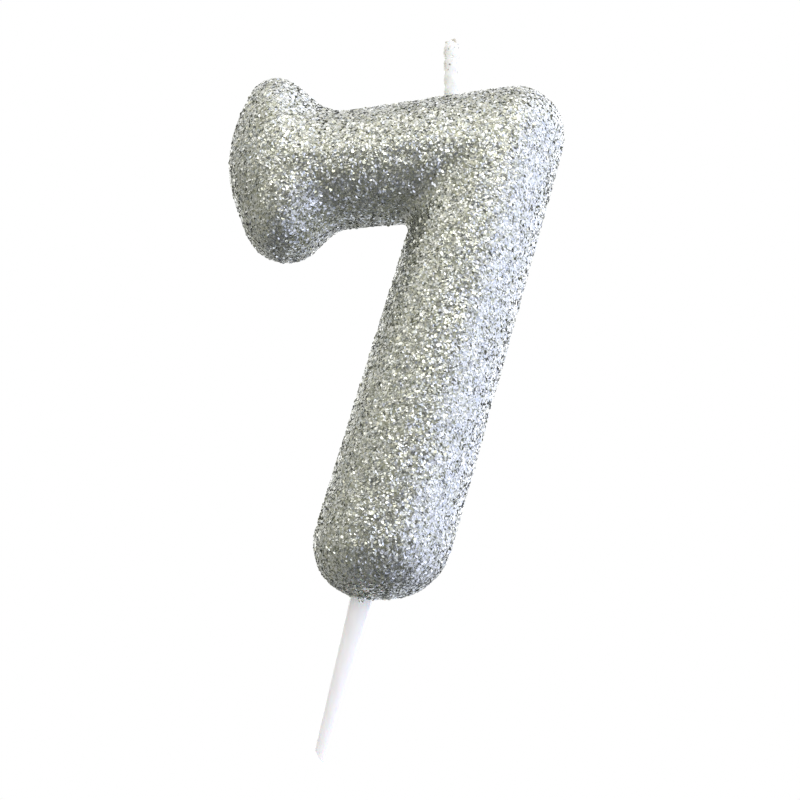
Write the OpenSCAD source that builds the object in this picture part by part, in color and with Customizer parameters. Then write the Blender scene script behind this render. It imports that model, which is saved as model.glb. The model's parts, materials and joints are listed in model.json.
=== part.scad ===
// Number birthday candle: a cast wax seven under a skin of glitter, with a braided
// cotton wick in its knee and a moulded pick in its foot.
// The numeral stands upright with its front towards -Y, and +X is to its reader's right.
// The origin is where the axis of the pick leaves the foot, halfway through the thickness.

/* [Numeral] */
// Height of the numeral, without its wick and pick
numeral_h = 70; // [62:1:90]
// Thickness from front to back, over the glitter
numeral_t = 15; // [13:0.5:18]
// How far the middle of each face stands above its rounded rim
face_crown = 0.2; // [0.1:0.1:0.6]
// Thickness of the skin of lacquer and glitter
skin_t = 0.4; // [0.2:0.1:0.8]

/* [Wick] */
// Diameter of the wick with its coat of wax
wick_d = 2.2; // [2.1:0.1:3]
// Length of waxed wick above the numeral
wick_free = 7.7; // [4:0.1:12]
// Length of wick set in the wax
wick_set = 44; // [20:1:44]
// Length in which a strand of the braid comes back to its place
braid_pitch = 6; // [5:0.5:8]
// Diameter of one cotton strand
strand_d = 0.56; // [0.4:0.02:0.56]

/* [Pick] */
// Diameter of the pick where it leaves the foot
pick_d = 2.8; // [2.2:0.1:3.2]
// Diameter of the pick at its tip
pick_tip_d = 1.3; // [0.8:0.1:2]
// Length of pick below the numeral
pick_free = 21; // [15:0.5:50]
// Length of pick set in the wax
pick_set = 18; // [14:1:22]
// Lean of the pick from upright, in degrees
pick_lean = 15; // [10:1:18]
// Number of barbs that hold the pick in the wax
barbs = 3; // [1:1:4]
// Length of the slanted cut across the tip
tip_cut = 1.3; // [0.5:0.1:2]

/* [Hidden] */

// The corners below draw a numeral this high, and this share of it is built.
drawn_h = 69;
size = numeral_h / drawn_h;

// Points along the middle of the numeral that its faces rise to.
SERIF = 0;
NECK = 1;
KNEE = 2;
FOOT = 3;

// Corners of the outline, anticlockwise from the top of the serif:
// [x, z, rounding radius, the middle point that the face rises to].
corners = [
    [-12.7, 71.9, 4.4, SERIF],
    [-19.2, 57.5, 16.5, SERIF],
    [-12.4, 39.5, 5.5, SERIF],
    [-3.5, 48.2, 4.5, NECK],
    [6.4, 48.7, 1.2, KNEE],
    [-8.3, 0.7, 6.7, FOOT],
    [9.4, -0.9, 8.4, FOOT],
    [28.8, 67.1, 6.4, KNEE],
    [-4.3, 63.5, 5.8, NECK],
];
bar_left = len(corners) - 1;
bar_right = bar_left - 1;

// Width of the rounded rim, from the outline in to the flat of the face.
rim_w = 7 * size;
// Steps of the rim from the front face round to the back, and of its corners, in degrees.
rim_steps = 18;
corner_step = 12;
// A corner keeps this radius however far the outline is drawn in.
least_r = 1.2 * size;
// The foot's middle point stands this share of the way up to the knee.
foot_share = 0.08;

wick_x = 11.65 * size;
wick_root = along_bar(wick_x);
wick_low = wick_root - wick_set;
wick_bore = 1.84;
// Half widths of the braid's figure of eight, across and through the numeral.
braid_x = 0.57;
braid_y = 0.4;
strand_end = 0.4;
strand_sides = 6;
rings_a_pitch = 12;

barb_h = 1.6;
barb_gap = 4;
barb_proud = 0.45;
barb_first = 4;
shank_point = 1.2;

round_fn = 48;

function unit(v) = v / norm(v);

function corner(i) =
    let (c = corners[(i + len(corners)) % len(corners)]) [c[0], c[1]] * size;

// Height of the top edge of the bar at a given x.
function along_bar(x) =
    let (a = corner(bar_left), b = corner(bar_right))
    a[1] + (b[1] - a[1]) * (x - a[0]) / (b[0] - a[0]);

// Points of corner i of the outline drawn in by d, as [x, z, middle point].
function corner_arc(i, d) =
    let (
        before = unit(corner(i - 1) - corner(i)),
        after = unit(corner(i + 1) - corner(i)),
        side = sign(cross(after, before)),
        half = acos(before * after) / 2,
        between = unit(before + after),
        r = max(corners[i][2] * size - max(side, 0) * d, min(least_r, corners[i][2] * size)),
        point = corner(i) + between * side * d / sin(half),
        centre = point + between * r / sin(half),
        from = point + before * r / tan(half) - centre,
        sweep = side * (180 - 2 * half),
        steps = ceil(abs(sweep) / corner_step)
    )
    [for (k = [0:steps])
        let (a = sweep * k / steps)
        [
            centre[0] + from[0] * cos(a) - from[1] * sin(a),
            centre[1] + from[0] * sin(a) + from[1] * cos(a),
            corners[i][3],
        ]];

function outline(d) = [for (i = [0:len(corners) - 1]) each corner_arc(i, d)];

// Mean of the outline's corners that share a middle point, drawn in to the flat of the face.
function middle(m) =
    let (near = [for (p = outline(rim_w)) if (p[2] == m) [p[0], p[1]]])
    sum_of(near) / len(near);

function sum_of(list, i = 0) =
    i == len(list) - 1 ? list[i] : list[i] + sum_of(list, i + 1);

// Solid of the whole numeral, drawn in all round by a margin.
module numeral_solid(margin) {
    thick = numeral_t / 2 - margin;
    rim = rim_w - margin;
    knee = middle(KNEE);
    foot = middle(FOOT);
    spine = [middle(SERIF), middle(NECK), knee, foot + (knee - foot) * foot_share];
    first = outline(margin);
    n = len(first);
    rings = [for (j = [0:rim_steps])
        let (a = -90 + 180 * j / rim_steps)
        for (p = outline(margin + rim * (1 - cos(a))))
            [p[0], thick * sin(a), p[1]]];
    front = [for (s = spine) [s[0], -thick - face_crown, s[1]]];
    back = [for (s = spine) [s[0], thick + face_crown, s[1]]];
    front_at = len(rings);
    back_at = front_at + len(spine);
    last = rim_steps * n;
    rim_faces = [for (j = [0:rim_steps - 1], i = [0:n - 1])
        let (a = j * n + i, b = j * n + (i + 1) % n)
        each [[a, b, a + n], [b, b + n, a + n]]];
    front_faces = [for (i = [0:n - 1])
        let (j = (i + 1) % n, a = front_at + first[i][2], b = front_at + first[j][2])
        each a == b ? [[i, a, j]] : [[i, b, j], [i, a, b]]];
    back_faces = [for (i = [0:n - 1])
        let (j = (i + 1) % n, a = back_at + first[i][2], b = back_at + first[j][2])
        each a == b ? [[last + i, last + j, a]] : [[last + i, last + j, b], [last + i, b, a]]];
    polyhedron(concat(rings, front, back), concat(rim_faces, front_faces, back_faces));
}

module wick_hole(low) {
    translate([wick_x, 0, low])
        cylinder(d = wick_d, h = wick_root + 2 * wick_free - low, $fn = round_fn);
}

// Pick upright on its own axis, with the foot of the numeral at z = 0.
module upright_pick() {
    r = pick_d / 2;
    barb_points = [for (b = [0:barbs - 1])
        let (z = barb_first + b * barb_gap)
        each [[r, z], [r + barb_proud, z], [r, z + barb_h]]];
    difference() {
        rotate_extrude($fn = round_fn)
            polygon(concat(
                [[0, -pick_free], [pick_tip_d / 2, -pick_free], [r, 0]],
                barb_points,
                [[r, pick_set - shank_point], [r - shank_point / 2, pick_set], [0, pick_set]]
            ));
        tip_waste();
    }
}

// What the slanted cut takes off the tip.
module tip_waste() {
    translate([pick_tip_d / 2, 0, -pick_free])
        rotate([0, atan2(tip_cut, pick_tip_d), 0])
            translate([-3 * pick_d, -pick_d, -2 * pick_d])
                cube([6 * pick_d, 2 * pick_d, 2 * pick_d]);
}

module pick() {
    color("white")
        rotate([0, pick_lean, 0])
            upright_pick();
}

module wax_numeral() {
    color("gainsboro")
        difference() {
            numeral_solid(skin_t);
            rotate([0, pick_lean, 0])
                upright_pick();
            wick_hole(wick_low);
        }
}

module glitter_skin() {
    color("silver")
        difference() {
            numeral_solid(0);
            numeral_solid(skin_t);
            rotate([0, pick_lean, 0])
                upright_pick();
            wick_hole(wick_root - numeral_t / 2);
        }
}

module wick_wax() {
    color("ivory")
        translate([wick_x, 0, wick_low])
            difference() {
                cylinder(d = wick_d, h = wick_set + wick_free, $fn = round_fn);
                translate([0, 0, -1])
                    cylinder(d = wick_bore, h = wick_set + wick_free + 2, $fn = round_fn);
            }
}

// Middle of a strand at height z above the lower end of the wick.
function strand_at(z, turn) =
    let (a = 360 * z / braid_pitch + turn)
    [wick_x + braid_x * sin(a), braid_y * sin(2 * a), wick_low + z];

// Ring of points round a strand, square to its run.
function strand_ring(z, turn) =
    let (
        run = unit(strand_at(z + 0.01, turn) - strand_at(z - 0.01, turn)),
        across = unit(cross([0, 1, 0], run)),
        up = cross(run, across)
    )
    [for (k = [0:strand_sides - 1])
        let (a = 360 * k / strand_sides)
        strand_at(z, turn) + (across * cos(a) + up * sin(a)) * strand_d / 2];

module strand(turn) {
    length = wick_set + wick_free + strand_end;
    rings = ceil(length / braid_pitch * rings_a_pitch);
    n = strand_sides;
    points = [for (j = [0:rings]) each strand_ring(length * j / rings, turn)];
    sides = [for (j = [0:rings - 1], k = [0:n - 1])
        let (a = j * n + k, b = j * n + (k + 1) % n)
        each [[a, a + n, b], [b, a + n, b + n]]];
    ends = [
        [for (k = [0:n - 1]) k],
        [for (k = [n - 1:-1:0]) rings * n + k],
    ];
    color("cornsilk")
        polyhedron(points, concat(sides, ends));
}

wax_numeral();
glitter_skin();
wick_wax();
strand(0);  // wick_strand_1
strand(120);  // wick_strand_2
strand(240);  // wick_strand_3
pick();
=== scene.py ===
"""Number birthday candle: a wax seven under silver glitter, on a plastic pick, with a waxed braided wick."""
import json
import math

import bmesh
import bpy
import numpy as np
from mathutils import Matrix, Vector, noise
from mathutils.bvhtree import BVHTree


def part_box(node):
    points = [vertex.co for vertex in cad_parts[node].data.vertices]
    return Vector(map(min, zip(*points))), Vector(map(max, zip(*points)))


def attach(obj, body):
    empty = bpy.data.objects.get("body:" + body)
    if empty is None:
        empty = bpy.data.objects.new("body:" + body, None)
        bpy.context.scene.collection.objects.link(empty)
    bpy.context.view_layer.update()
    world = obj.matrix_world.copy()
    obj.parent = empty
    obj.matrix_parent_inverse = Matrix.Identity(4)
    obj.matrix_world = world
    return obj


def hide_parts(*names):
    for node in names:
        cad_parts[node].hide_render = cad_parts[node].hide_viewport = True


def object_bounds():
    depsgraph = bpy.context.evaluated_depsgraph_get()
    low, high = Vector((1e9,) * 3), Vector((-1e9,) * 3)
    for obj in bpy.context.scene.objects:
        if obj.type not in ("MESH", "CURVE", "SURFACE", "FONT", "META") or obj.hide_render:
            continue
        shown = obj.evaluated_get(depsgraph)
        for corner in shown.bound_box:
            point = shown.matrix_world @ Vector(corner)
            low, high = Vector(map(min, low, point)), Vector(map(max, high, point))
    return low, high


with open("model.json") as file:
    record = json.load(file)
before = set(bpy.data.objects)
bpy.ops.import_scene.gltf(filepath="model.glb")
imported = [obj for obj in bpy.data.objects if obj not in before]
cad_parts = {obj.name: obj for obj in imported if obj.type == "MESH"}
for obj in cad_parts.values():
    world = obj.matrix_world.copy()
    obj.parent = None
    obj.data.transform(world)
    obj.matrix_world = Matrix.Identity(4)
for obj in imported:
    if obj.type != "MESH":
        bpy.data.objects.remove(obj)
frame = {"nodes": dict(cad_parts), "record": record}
cad_low, cad_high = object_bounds()
MM = 0.001

# ---------------------------------------------------------------- sizes, in metres

SKIN = 0.4 * MM            # lacquer and glitter together, as packed
LACQUER_SINK = 0.11 * MM   # the lacquer lies this far under the tips of the flakes
VOXEL = 0.4 * MM           # mesh size of the lacquer
CREEP = 0.25 * MM          # how far the wet lacquer crept along the wick and the pick
CREEP_FADE = 0.4 * MM      # how far round them the creep dies away
CREEP_DEPTH = 4 * MM       # how far above the root of the pick nothing creeps any more

UP = Vector((0, 0, 1))
wick_low, wick_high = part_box("wick_wax")
WICK_AXIS = Vector(((wick_low.x + wick_high.x) / 2, 0, 0))
WICK_R = (wick_high.x - wick_low.x) / 2
WICK_ROUNDING = 1.1 * MM   # height of the rounded top edge of its wax
WICK_SPECKLED = 4.2 * MM   # length of wick, from its top, that caught flakes
WAX_OVER = 0.16 * MM       # wax over the strands of the braid
WAX_LEAST = 0.86 * MM      # least distance of the wax's face from the wick's axis
_, skin_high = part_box("glitter_skin")
strand_low, strand_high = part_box("wick_strand_1")

pick_mount = next(m for m in frame["record"]["mounts"] if m["name"] == "pick")
PICK_DOWN = Vector(pick_mount["axis"]).normalized()
PICK_R = pick_mount["dims"]["r_mm"] * MM
PICK_FREE = pick_mount["dims"]["length_mm"] * MM
PICK_TIP_R = 0.65 * MM
PICK_SET = 18 * MM         # length of the shank inside the wax
PICK_POINT = 1.2 * MM      # height of the blunt point at its inner end
BARBS = 3
BARB_GAP = 4 * MM          # from the foot to the first barb, and from each barb to the next
BARB_PROUD = 0.45 * MM
BARB_H = 1.6 * MM
DROP_AT = Vector((0.35, -1.35, 0.05)) * MM   # the drop of lacquer at the root of the pick
DROP_R = 0.65 * MM

BRAID_PITCH = 6 * MM
BRAID_X = 0.57 * MM
BRAID_Y = 0.40 * MM
STRAND_R = 0.28 * MM
STRAND_TURNS = (0, 120, 240)

# The clear lacquer over the glitter glows a little where it is seen edge-on, round the rim.
EDGE_GLOW = {"Sheen_Weight": 0.9, "Sheen_Roughness": 0.3}


# ---------------------------------------------------------------- materials

def colour(code):
    """Linear RGBA from an sRGB hex code."""
    parts = [int(code[i:i + 2], 16) / 255 for i in (1, 3, 5)]
    return [p / 12.92 if p <= 0.04045 else ((p + 0.055) / 1.055) ** 2.4 for p in parts] + [1]


def add(tree, kind, settings=None, links=None):
    """Adds a node: settings are its own properties, links a value or an output for each input."""
    made = tree.nodes.new(kind)
    for name, value in (settings or {}).items():
        setattr(made, name, value)
    for name, value in (links or {}).items():
        if isinstance(value, bpy.types.NodeSocket):
            tree.links.new(value, made.inputs[name])
        else:
            made.inputs[name].default_value = value
    return made


def material(name, base, **values):
    """A Principled material with plain values on its sockets, and its tree and shader."""
    made = bpy.data.materials.new(name)
    made.use_nodes = True
    shader = made.node_tree.nodes["Principled BSDF"]
    shader.inputs["Base Color"].default_value = colour(base)
    for socket, value in values.items():
        shader.inputs[socket.replace("_", " ")].default_value = value
    return made, made.node_tree, shader


def glitter_film(name, base, roughness):
    """Aluminised polyester film, cut to hexagons: a near mirror, so that each tilted flake is either a
    spark or a dark chip. One tint a material, and the tints are dealt out flake by flake."""
    made, _, _ = material(name, base, Metallic=1.0, Roughness=roughness, **EDGE_GLOW)
    return made


def glitter_films():
    """Tints of film, with the share of the flakes that each has."""
    return [
        (glitter_film("polyester_film_silver", "#e7e8df", 0.18), 0.46),
        (glitter_film("polyester_film_satin", "#cdcfbd", 0.30), 0.26),
        (glitter_film("polyester_film_warm", "#d6d5c1", 0.22), 0.14),
        (glitter_film("polyester_film_cool", "#cfd4d0", 0.22), 0.14),
    ]


def lacquer():
    """Clear lacquer packed with fine glitter: a dull grey metallic ground, grained like the flakes in it,
    that shows as the dark gaps between the ones on top."""
    made, tree, shader = material("glitter_lacquer", "#a9ab9b", Metallic=0.75, Roughness=0.38,
                                  Coat_Weight=0.25, Coat_Roughness=0.2, **EDGE_GLOW)
    place = add(tree, "ShaderNodeTexCoord")
    grain = 1 / (0.32 * MM)
    cells = add(tree, "ShaderNodeTexVoronoi", links={"Vector": place.outputs["Object"], "Scale": grain})
    shade = add(tree, "ShaderNodeValToRGB", links={"Fac": cells.outputs["Color"]})
    shade.color_ramp.elements[0].color = colour("#82846c")
    shade.color_ramp.elements[1].color = colour("#c8caae")
    tree.links.new(shade.outputs["Color"], shader.inputs["Base Color"])
    bump = add(tree, "ShaderNodeBump", links={"Height": cells.outputs["Color"], "Strength": 0.6,
                                              "Distance": 0.08 * MM})
    tree.links.new(bump.outputs["Normal"], shader.inputs["Normal"])
    return made


def paraffin():
    """Cast paraffin wax: milky and soft, with faint mottling where it cooled."""
    made, tree, shader = material("paraffin_wax", "#fbfaf0", Roughness=0.45, IOR=1.43,
                                  Subsurface_Weight=0.35, Subsurface_Scale=1.5 * MM)
    shader.inputs["Subsurface Radius"].default_value = (1.0, 0.8, 0.6)
    place = add(tree, "ShaderNodeTexCoord")
    mottle = add(tree, "ShaderNodeTexNoise", links={"Vector": place.outputs["Object"],
                                                    "Scale": 1 / (1.4 * MM), "Detail": 3.0})
    shade = add(tree, "ShaderNodeValToRGB", links={"Fac": mottle.outputs["Fac"]})
    shade.color_ramp.elements[0].color = colour("#f5f4e6")
    shade.color_ramp.elements[1].color = colour("#fefef8")
    tree.links.new(shade.outputs["Color"], shader.inputs["Base Color"])
    bump = add(tree, "ShaderNodeBump", links={"Height": mottle.outputs["Fac"], "Strength": 0.35,
                                              "Distance": 0.06 * MM})
    tree.links.new(bump.outputs["Normal"], shader.inputs["Normal"])
    return made


def cotton():
    """Bleached cotton yarn soaked in wax: a warm off-white with fibres along the strand."""
    made, tree, shader = material("cotton_yarn", "#ece6d4", Roughness=0.8, IOR=1.45)
    place = add(tree, "ShaderNodeTexCoord")
    stretch = add(tree, "ShaderNodeMapping", links={"Vector": place.outputs["Object"],
                                                    "Scale": (1.0, 1.0, 0.25)})
    fibre = add(tree, "ShaderNodeTexNoise", links={"Vector": stretch.outputs["Vector"],
                                                   "Scale": 1 / (0.08 * MM), "Detail": 2.0})
    shade = add(tree, "ShaderNodeValToRGB", links={"Fac": fibre.outputs["Fac"]})
    shade.color_ramp.elements[0].color = colour("#cfc6ab")
    shade.color_ramp.elements[1].color = colour("#f4efe2")
    tree.links.new(shade.outputs["Color"], shader.inputs["Base Color"])
    bump = add(tree, "ShaderNodeBump", links={"Height": fibre.outputs["Fac"], "Strength": 0.6,
                                              "Distance": 0.05 * MM})
    tree.links.new(bump.outputs["Normal"], shader.inputs["Normal"])
    return made


def polypropylene():
    """White injection-moulded polypropylene: a clean, slightly milky white with a satin skin."""
    made, tree, shader = material("polypropylene_white", "#f3f2ef", Roughness=0.34, IOR=1.49,
                                  Subsurface_Weight=0.2, Subsurface_Scale=0.8 * MM)
    place = add(tree, "ShaderNodeTexCoord")
    flow = add(tree, "ShaderNodeMapping", links={"Vector": place.outputs["Object"],
                                                 "Scale": (1.0, 1.0, 0.15)})
    haze = add(tree, "ShaderNodeTexNoise", links={"Vector": flow.outputs["Vector"],
                                                  "Scale": 1 / (0.9 * MM), "Detail": 2.0})
    shade = add(tree, "ShaderNodeValToRGB", links={"Fac": haze.outputs["Fac"]})
    shade.color_ramp.elements[0].color = colour("#f0efe9")
    shade.color_ramp.elements[1].color = colour("#fdfcf6")
    tree.links.new(shade.outputs["Color"], shader.inputs["Base Color"])
    bump = add(tree, "ShaderNodeBump", links={"Height": haze.outputs["Fac"], "Strength": 0.15,
                                              "Distance": 0.05 * MM})
    tree.links.new(bump.outputs["Normal"], shader.inputs["Normal"])
    return made


def pale_board():
    """Matt pale board that the studio floor is made of, dim enough for the white pick to show on it."""
    made, _, _ = material("matt_board", "#c6c6c4", Roughness=0.9)
    return made


# ---------------------------------------------------------------- mesh helpers

def finished(name, bm, mats, smooth=True):
    """Turns a bmesh into an object at the origin, with its materials."""
    mesh = bpy.data.meshes.new(name)
    bm.to_mesh(mesh)
    bm.free()
    made = bpy.data.objects.new(name, mesh)
    bpy.context.scene.collection.objects.link(made)
    for m in mats:
        mesh.materials.append(m)
    mesh.polygons.foreach_set("use_smooth", [smooth] * len(mesh.polygons))
    return made


def with_modifier(obj, kind, **settings):
    """Applies one modifier to an object's mesh."""
    mod = obj.modifiers.new(kind, kind)
    for name, value in settings.items():
        setattr(mod, name, value)
    graph = bpy.context.evaluated_depsgraph_get()
    baked = bpy.data.meshes.new_from_object(obj.evaluated_get(graph))
    obj.modifiers.clear()
    old, obj.data = obj.data, baked
    bpy.data.meshes.remove(old)
    return obj


def merged(node):
    """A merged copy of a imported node's mesh."""
    bm = bmesh.new()
    bm.from_mesh(frame["nodes"][node].data)
    bmesh.ops.remove_doubles(bm, verts=bm.verts, dist=0.001 * MM)
    return bm


def axis_gap(point, start, along):
    """Distance of a point from a line, and how far along the line it is."""
    run = (point - start).dot(along)
    return (point - start - along * run).length, run


# ---------------------------------------------------------------- the glitter skin

def outer_face():
    """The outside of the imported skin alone, closed over the holes of the wick and the pick."""
    wax = BVHTree.FromBMesh(merged("wax_numeral"))
    bm = merged("glitter_skin")
    inner = [f for f in bm.faces if wax.find_nearest(f.calc_center_median())[3] < 0.9 * SKIN]
    bmesh.ops.delete(bm, geom=inner, context="FACES")
    bmesh.ops.holes_fill(bm, edges=[e for e in bm.edges if e.is_boundary], sides=0)
    bmesh.ops.recalc_face_normals(bm, faces=bm.faces)
    return bm


def lumps(point):
    """Unevenness of the dipped coat at a point: soft drifts, and clumps a few flakes across."""
    drift_width, drift_height = 3.2 * MM, 0.05 * MM
    clump_width, clump_height = 0.9 * MM, 0.035 * MM
    drift = noise.noise(point / drift_width) * drift_height
    clump = noise.noise(point / clump_width) * clump_height
    return drift + clump


def creep(point):
    """How the wet lacquer crept up the wick and down the pick at their roots."""
    if point.z > skin_high.z / 2:
        gap, _ = axis_gap(point, WICK_AXIS, UP)
        return Vector((0, 0, CREEP)) * math.exp(-max(gap - WICK_R, 0) / CREEP_FADE)
    gap, run = axis_gap(point, Vector(), PICK_DOWN)
    if run < -CREEP_DEPTH:
        return Vector()
    return PICK_DOWN * CREEP * math.exp(-max(gap - PICK_R, 0) / CREEP_FADE)


def hidden_by_root(face):
    """Whether a face of the lacquer lies inside the wick or the pick."""
    centre = face.calc_center_median()
    from_wick, _ = axis_gap(centre, WICK_AXIS, UP)
    from_pick, _ = axis_gap(centre, Vector(), PICK_DOWN)
    in_wick = from_wick < WICK_R and centre.z > skin_high.z / 2
    in_pick = from_pick < PICK_R and centre.z < skin_high.z / 4 and face.normal.z < -0.5
    return in_wick or in_pick


def lacquer_skin(mat):
    """The lacquer under the loose flakes: an even mesh over the numeral, dipped and lumpy."""
    skin = finished("lacquer_skin", outer_face(), [mat])
    with_modifier(skin, "REMESH", mode="VOXEL", voxel_size=VOXEL)
    with_modifier(skin, "SMOOTH", factor=0.5, iterations=12)
    bm = bmesh.new()
    bm.from_mesh(skin.data)
    bm.normal_update()
    moves = [v.normal * (lumps(v.co) - LACQUER_SINK) + creep(v.co) for v in bm.verts]
    for v, move in zip(bm.verts, moves):
        v.co += move
    bmesh.ops.delete(bm, geom=[f for f in bm.faces if hidden_by_root(f)], context="FACES")
    bm.to_mesh(skin.data)
    bm.free()
    return skin


def scatter(obj, count, rng):
    """Random points spread evenly over a mesh, with the normal at each."""
    mesh = obj.data
    mesh.calc_loop_triangles()
    tris = np.empty(len(mesh.loop_triangles) * 3, np.int32)
    mesh.loop_triangles.foreach_get("vertices", tris)
    co = np.empty(len(mesh.vertices) * 3)
    mesh.vertices.foreach_get("co", co)
    corners = co.reshape(-1, 3)[tris.reshape(-1, 3)]
    cross = np.cross(corners[:, 1] - corners[:, 0], corners[:, 2] - corners[:, 0])
    area = np.linalg.norm(cross, axis=1)
    chosen = rng.choice(len(area), count, p=area / area.sum())
    a, b = rng.random((2, count, 1))
    fold = a + b > 1
    a, b = np.where(fold, 1 - a, a), np.where(fold, 1 - b, b)
    tri = corners[chosen]
    points = tri[:, 0] + (tri[:, 1] - tri[:, 0]) * a + (tri[:, 2] - tri[:, 0]) * b
    return points, cross[chosen] / area[chosen][:, None]


def flakes(name, points, normals, rng, films, radius, proud, tilt):
    """Hexagonal flakes of film at the points, each tilted, turned and sized at random. One hexagon is
    made and then copied in bulk, because there are far too many flakes to place one by one."""
    count = len(points)
    loose = rng.normal(0, tilt, (count, 3))
    face = normals + loose
    face /= np.linalg.norm(face, axis=1)[:, None]
    side = np.cross(face, rng.normal(0, 1, (count, 3)))
    side /= np.linalg.norm(side, axis=1)[:, None]
    up = np.cross(face, side)
    size = rng.uniform(0.6 * radius, radius, (count, 1))
    centre = points + normals * rng.uniform(proud[0], proud[1], (count, 1))

    template = bmesh.new()
    bmesh.ops.create_circle(template, cap_ends=True, segments=6, radius=1)
    rim = np.array([v.co.xy for v in template.verts])
    order = [v.index for v in next(iter(template.faces)).verts]
    template.free()
    verts = np.stack([centre + size * (side * x + up * y) for x, y in rim], 1).reshape(-1, 3)
    sides = len(order)
    faces = (np.arange(count)[:, None] * sides + np.array(order)).tolist()
    mesh = bpy.data.meshes.new(name)
    mesh.from_pydata(verts, [], faces)
    for film, _ in films:
        mesh.materials.append(film)
    mesh.polygons.foreach_set("material_index", rng.choice(len(films), count, p=[s for _, s in films]))
    mesh.update()
    made = bpy.data.objects.new(name, mesh)
    bpy.context.scene.collection.objects.link(made)
    return made


def dusting(skin, films):
    """Dustings of glitter over the lacquer, from the flakes bedded in it to the ones that stand proud."""
    rng = np.random.default_rng(7)
    # name, number of flakes, largest radius in mm, least and most height over the lacquer in mm, tilt
    layers = [
        ("glitter_bedded", 49000, 0.17, (0.00, 0.02), 0.09),
        ("glitter_settled", 49000, 0.18, (0.01, 0.03), 0.14),
        ("glitter_resting", 49000, 0.20, (0.02, 0.04), 0.23),
        ("glitter_proud", 32000, 0.27, (0.03, 0.05), 0.28),
    ]
    made = []
    for name, count, radius, proud, tilt in layers:
        points, normals = scatter(skin, count, rng)
        heights = (proud[0] * MM, proud[1] * MM)
        made.append(flakes(name, points, normals, rng, films, radius * MM, heights, tilt))
    return made


# ---------------------------------------------------------------- the wick

def strand_point(z, turn):
    """Middle of a strand at height z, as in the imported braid."""
    a = math.tau * (z - wick_low.z) / BRAID_PITCH + math.radians(turn)
    return WICK_AXIS + Vector((BRAID_X * math.sin(a), BRAID_Y * math.sin(2 * a), z))


def strand(number, mat):
    """One cotton strand of the braid, as a round yarn."""
    curve = bpy.data.curves.new(f"cotton_strand_{number}", "CURVE")
    curve.dimensions = "3D"
    curve.bevel_depth = STRAND_R
    curve.bevel_resolution = 3
    curve.use_fill_caps = True
    steps = round((strand_high.z - strand_low.z) / BRAID_PITCH * 20)
    line = curve.splines.new("POLY")
    line.points.add(steps)
    for i, p in enumerate(line.points):
        z = strand_low.z + (strand_high.z - strand_low.z) * i / steps
        p.co = (*strand_point(z, STRAND_TURNS[number - 1]), 1)
    made = bpy.data.objects.new(curve.name, curve)
    bpy.context.scene.collection.objects.link(made)
    graph = bpy.context.evaluated_depsgraph_get()
    mesh = bpy.data.meshes.new_from_object(made.evaluated_get(graph))
    bpy.data.objects.remove(made)
    out = bpy.data.objects.new(curve.name, mesh)
    bpy.context.scene.collection.objects.link(out)
    mesh.materials.clear()
    mesh.materials.append(mat)
    mesh.polygons.foreach_set("use_smooth", [True] * len(mesh.polygons))
    return out


def wax_reach(angle, z):
    """How far the wax stands from the wick's axis: it follows the strands, softened."""
    out = Vector((math.cos(angle), math.sin(angle), 0))
    reach = max((strand_point(z, t) - WICK_AXIS).dot(out) for t in STRAND_TURNS) + STRAND_R
    return min(max(reach + WAX_OVER, WAX_LEAST), WICK_R)


def waxed_wick(mat):
    """The coat of wax round the braid, which shows its plait, with a rounded top edge."""
    bm = bmesh.new()
    around, rings = 32, 150
    closing = 0.96
    uneven_width, uneven_height = 0.7 * MM, 0.03 * MM
    low, high = wick_low.z, strand_high.z
    bmesh.ops.create_circle(bm, segments=around, radius=WICK_R,
                            matrix=Matrix.Translation(WICK_AXIS + Vector((0, 0, low))))
    ring = list(bm.edges)
    for _ in range(rings):
        grown = bmesh.ops.extrude_edge_only(bm, edges=ring)["geom"]
        bmesh.ops.translate(bm, vec=(0, 0, (high - low) / rings),
                            verts=[g for g in grown if isinstance(g, bmesh.types.BMVert)])
        ring = [g for g in grown if isinstance(g, bmesh.types.BMEdge)]
    for v in bm.verts:
        out = v.co - WICK_AXIS - Vector((0, 0, v.co.z))
        reach = wax_reach(math.atan2(out.y, out.x), v.co.z)
        into = max(0, v.co.z - high + WICK_ROUNDING) / WICK_ROUNDING
        reach *= math.sqrt(1 - closing * into ** 2)
        reach += noise.noise(v.co / uneven_width) * uneven_height
        v.co = v.co - out + out.normalized() * reach
    bmesh.ops.holes_fill(bm, edges=[e for e in bm.edges if e.is_boundary], sides=0)
    bmesh.ops.recalc_face_normals(bm, faces=bm.faces)
    return finished("waxed_wick", bm, [mat])


def stray_glitter(name, obj, films, keep, count, seed):
    """A few flakes that strayed onto a piece, where keep says they may lie."""
    radius, proud, tilt = 0.17 * MM, (0.0, 0.02 * MM), 0.2
    rng = np.random.default_rng(seed)
    points, normals = scatter(obj, count, rng)
    kept = np.array([keep(p) for p in points])
    return flakes(name, points[kept], normals[kept], rng, films, radius, proud, tilt)


def at_pick_root(point):
    """Whether a point of the pick is in the drop of lacquer that ran down the front of its root."""
    return (Vector(point) - DROP_AT).length < DROP_R


# ---------------------------------------------------------------- the pick

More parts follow.
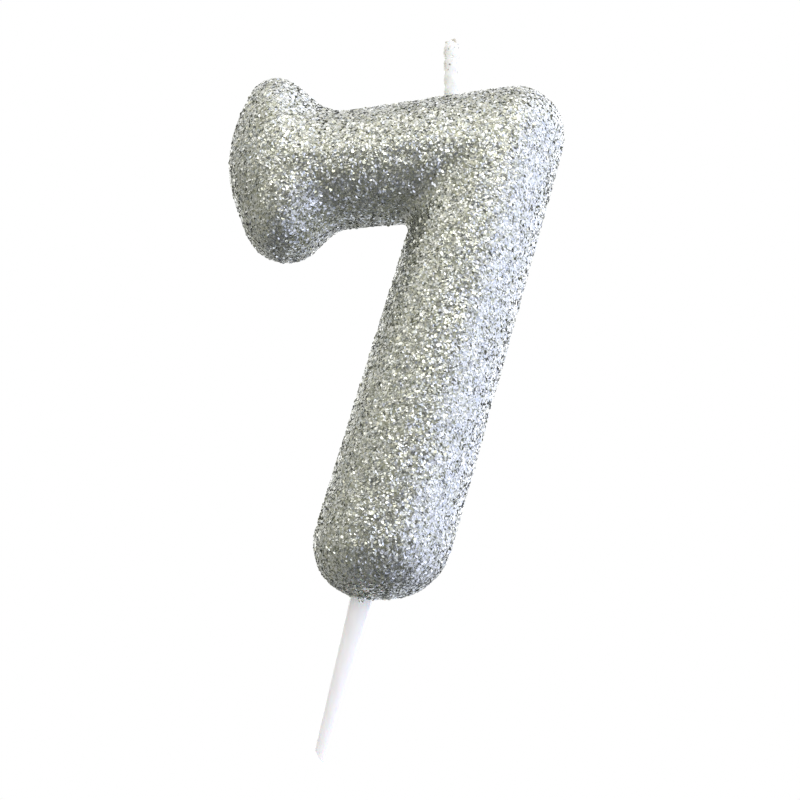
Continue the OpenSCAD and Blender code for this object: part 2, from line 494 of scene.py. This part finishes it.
def moulded_pick(mat):
    """The pick: a round taper with a slanted tip, and the barbed shank that holds it in the wax."""
    bm = bmesh.new()
    profile = [(0.0, -PICK_FREE), (PICK_TIP_R, -PICK_FREE)]
    steps = 14
    profile += [
        (PICK_TIP_R + (PICK_R - PICK_TIP_R) * i / steps, -PICK_FREE * (1 - i / steps))
        for i in range(1, steps + 1)
    ]
    for i in range(BARBS):
        z = BARB_GAP * (i + 1)
        profile += [(PICK_R, z), (PICK_R + BARB_PROUD, z), (PICK_R, z + BARB_H)]
    profile += [(PICK_R, PICK_SET - PICK_POINT), (PICK_R - PICK_POINT / 2, PICK_SET), (0.0, PICK_SET)]
    line = [bm.verts.new((r, 0, z)) for r, z in profile]
    edges = [bm.edges.new(pair) for pair in zip(line, line[1:])]
    bmesh.ops.spin(bm, geom=line + edges, cent=(0, 0, 0), axis=(0, 0, 1), angle=math.tau,
                   steps=40, use_merge=True, use_duplicate=False)
    bmesh.ops.remove_doubles(bm, verts=bm.verts, dist=0.005 * MM)
    bmesh.ops.bisect_plane(
        bm, geom=bm.verts[:] + bm.edges[:] + bm.faces[:], clear_inner=True,
        plane_co=(PICK_TIP_R, 0, -PICK_FREE), plane_no=Vector((1, 0, 1)).normalized())
    bmesh.ops.holes_fill(bm, edges=[e for e in bm.edges if e.is_boundary], sides=0)
    bmesh.ops.recalc_face_normals(bm, faces=bm.faces)
    lean = math.atan2(-PICK_DOWN.x, -PICK_DOWN.z)
    bmesh.ops.transform(bm, verts=bm.verts, matrix=Matrix.Rotation(lean, 4, "Y"))
    made = finished("moulded_pick", bm, [mat])
    made.data.set_sharp_from_angle(angle=math.radians(40))
    return made


# ---------------------------------------------------------------- studio

def softbox(name, place, aim, width, power, tint):
    """A square soft lamp turned to the candle, which the camera doesn't see."""
    lamp = bpy.data.lights.new(name, "AREA")
    lamp.size = width
    lamp.energy = power
    lamp.color = colour(tint)[:3]
    made = bpy.data.objects.new(name, lamp)
    made.location = place
    made.rotation_mode = "QUATERNION"
    made.rotation_quaternion = (Vector(place) - aim).to_track_quat("Z", "Y")
    made.visible_camera = False
    bpy.context.scene.collection.objects.link(made)


def glow(tree, axis, sign, tint, above, below, narrow=0.0):
    """Part of the room's light: brightest straight along one axis, and gone at right angles to it or,
    if it is narrow, sooner. It has a strength of its own above the horizon and another below."""
    place = add(tree, "ShaderNodeTexCoord")
    along = add(tree, "ShaderNodeSeparateXYZ", links={"Vector": place.outputs["Generated"]})
    soft = {"interpolation_type": "SMOOTHSTEP"}
    horizon_low, horizon_high = -0.35, 0.25
    lobe = add(tree, "ShaderNodeMapRange", soft,
               {"Value": along.outputs[axis], "From Min": sign * narrow, "From Max": sign})
    level = add(tree, "ShaderNodeMapRange", soft,
                {"Value": along.outputs["Z"], "From Min": horizon_low, "From Max": horizon_high,
                 "To Min": below, "To Max": above})
    strength = add(tree, "ShaderNodeMath", {"operation": "MULTIPLY"},
                   {0: lobe.outputs[0], 1: level.outputs[0]})
    return add(tree, "ShaderNodeBackground", links={"Color": colour(tint), "Strength": strength.outputs[0]})


def room(aim):
    """To the camera, white paper behind the candle and a pale grey room elsewhere. To the candle, a
    window on the right, a pale ceiling and backdrop, and less light from the left and below, with a
    soft key lamp in front, a small lamp behind the foot and a weak one on the left."""
    world = bpy.data.worlds.new("studio")
    world.use_nodes = True
    bpy.context.scene.world = world
    tree = world.node_tree
    tree.nodes.clear()
    glows = [
        glow(tree, "X", 1, "#dce1ff", 1.98, 1.50),
        glow(tree, "X", -1, "#fbfbf8", 0.35, 0.40),
        glow(tree, "Y", 1, "#fcfcff", 2.40, 0.32, narrow=0.36),
        glow(tree, "Y", -1, "#fbfbf8", 0.33, 0.10),
        glow(tree, "Z", 1, "#fbfaff", 0.86, 0.0),
        glow(tree, "Z", -1, "#e2e7fb", 0.0, 0.12),
    ]
    total = glows[0]
    for light in glows[1:]:
        total = add(tree, "ShaderNodeAddShader", links={0: total.outputs[0], 1: light.outputs[0]})
    place = add(tree, "ShaderNodeTexCoord")
    along = add(tree, "ShaderNodeSeparateXYZ", links={"Vector": place.outputs["Generated"]})
    paper = add(tree, "ShaderNodeMapRange", {"interpolation_type": "SMOOTHSTEP"},
                {"Value": along.outputs["Y"], "From Min": 0.2, "From Max": 0.8,
                 "To Min": 0.66, "To Max": 1.0})
    white = add(tree, "ShaderNodeBackground", links={"Color": (1, 1, 1, 1), "Strength": paper.outputs[0]})
    ray = add(tree, "ShaderNodeLightPath")
    both = add(tree, "ShaderNodeMixShader", links={0: ray.outputs["Is Camera Ray"], 1: total.outputs[0],
                                                   2: white.outputs[0]})
    add(tree, "ShaderNodeOutputWorld", links={"Surface": both.outputs[0]})
    softbox("key_softbox", (0.07, -0.31, 0.215), aim, 0.13, 0.15, "#fffffa")
    softbox("low_softbox", (0.01, 0.07, -0.055), Vector(), 0.05, 0.009, "#e6ecff")
    softbox("left_softbox", (-0.12, -0.20, 0.22), aim, 0.15, 0.045, "#f2f0ea")


def floor(mat):
    """A plain round floor, well below the tip of the pick, which the flakes don't mirror."""
    radius, drop = 600 * MM, 40 * MM
    bm = bmesh.new()
    bmesh.ops.create_circle(bm, cap_ends=True, segments=96, radius=radius,
                            matrix=Matrix.Translation((0, 0, cad_low.z - drop)))
    made = finished("floor", bm, [mat], smooth=False)
    made.visible_glossy = False


def camera(aim):
    """Looks slightly up at the front of the numeral, from a little to its right."""
    azimuth, elevation, distance = math.radians(7), math.radians(-11), 0.2213
    back = Vector((math.sin(azimuth) * math.cos(elevation),
                   -math.cos(azimuth) * math.cos(elevation), math.sin(elevation)))
    data = bpy.data.cameras.new("camera")
    data.lens = 77.06
    data.sensor_width = 36
    made = bpy.data.objects.new("camera", data)
    made.location = aim + back * distance
    made.rotation_mode = "QUATERNION"
    made.rotation_quaternion = back.to_track_quat("Z", "Y")
    bpy.context.scene.collection.objects.link(made)
    bpy.context.scene.camera = made


# ---------------------------------------------------------------- putting it together

middle = (cad_low + cad_high) / 2
camera(middle + Vector((0.57, 0, -1.57)) * MM)
room(middle)
floor(pale_board())
bpy.context.scene.view_settings.view_transform = "Standard"

films = glitter_films()
wax = paraffin()

skin = lacquer_skin(lacquer())
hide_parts("glitter_skin")
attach(skin, "root")
for layer in dusting(skin, films):
    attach(layer, "root")
with_modifier(skin, "SOLIDIFY", thickness=SKIN - LACQUER_SINK, offset=-1)

yarn = cotton()
for number in (1, 2, 3):
    piece = strand(number, yarn)
    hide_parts(f"wick_strand_{number}")
    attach(piece, "root")
coat = waxed_wick(wax)
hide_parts("wick_wax")
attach(coat, "root")
specks = stray_glitter("wick_specks", coat, films, lambda p: p[2] > wick_high.z - WICK_SPECKLED,
                       count=700, seed=3)
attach(specks, "root")

spike = moulded_pick(polypropylene())
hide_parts("pick")
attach(spike, "root")

caught = stray_glitter("root_glitter", spike, films, at_pick_root, count=14000, seed=5)
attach(caught, "root")

frame["nodes"]["wax_numeral"].data.materials.clear()
frame["nodes"]["wax_numeral"].data.materials.append(wax)
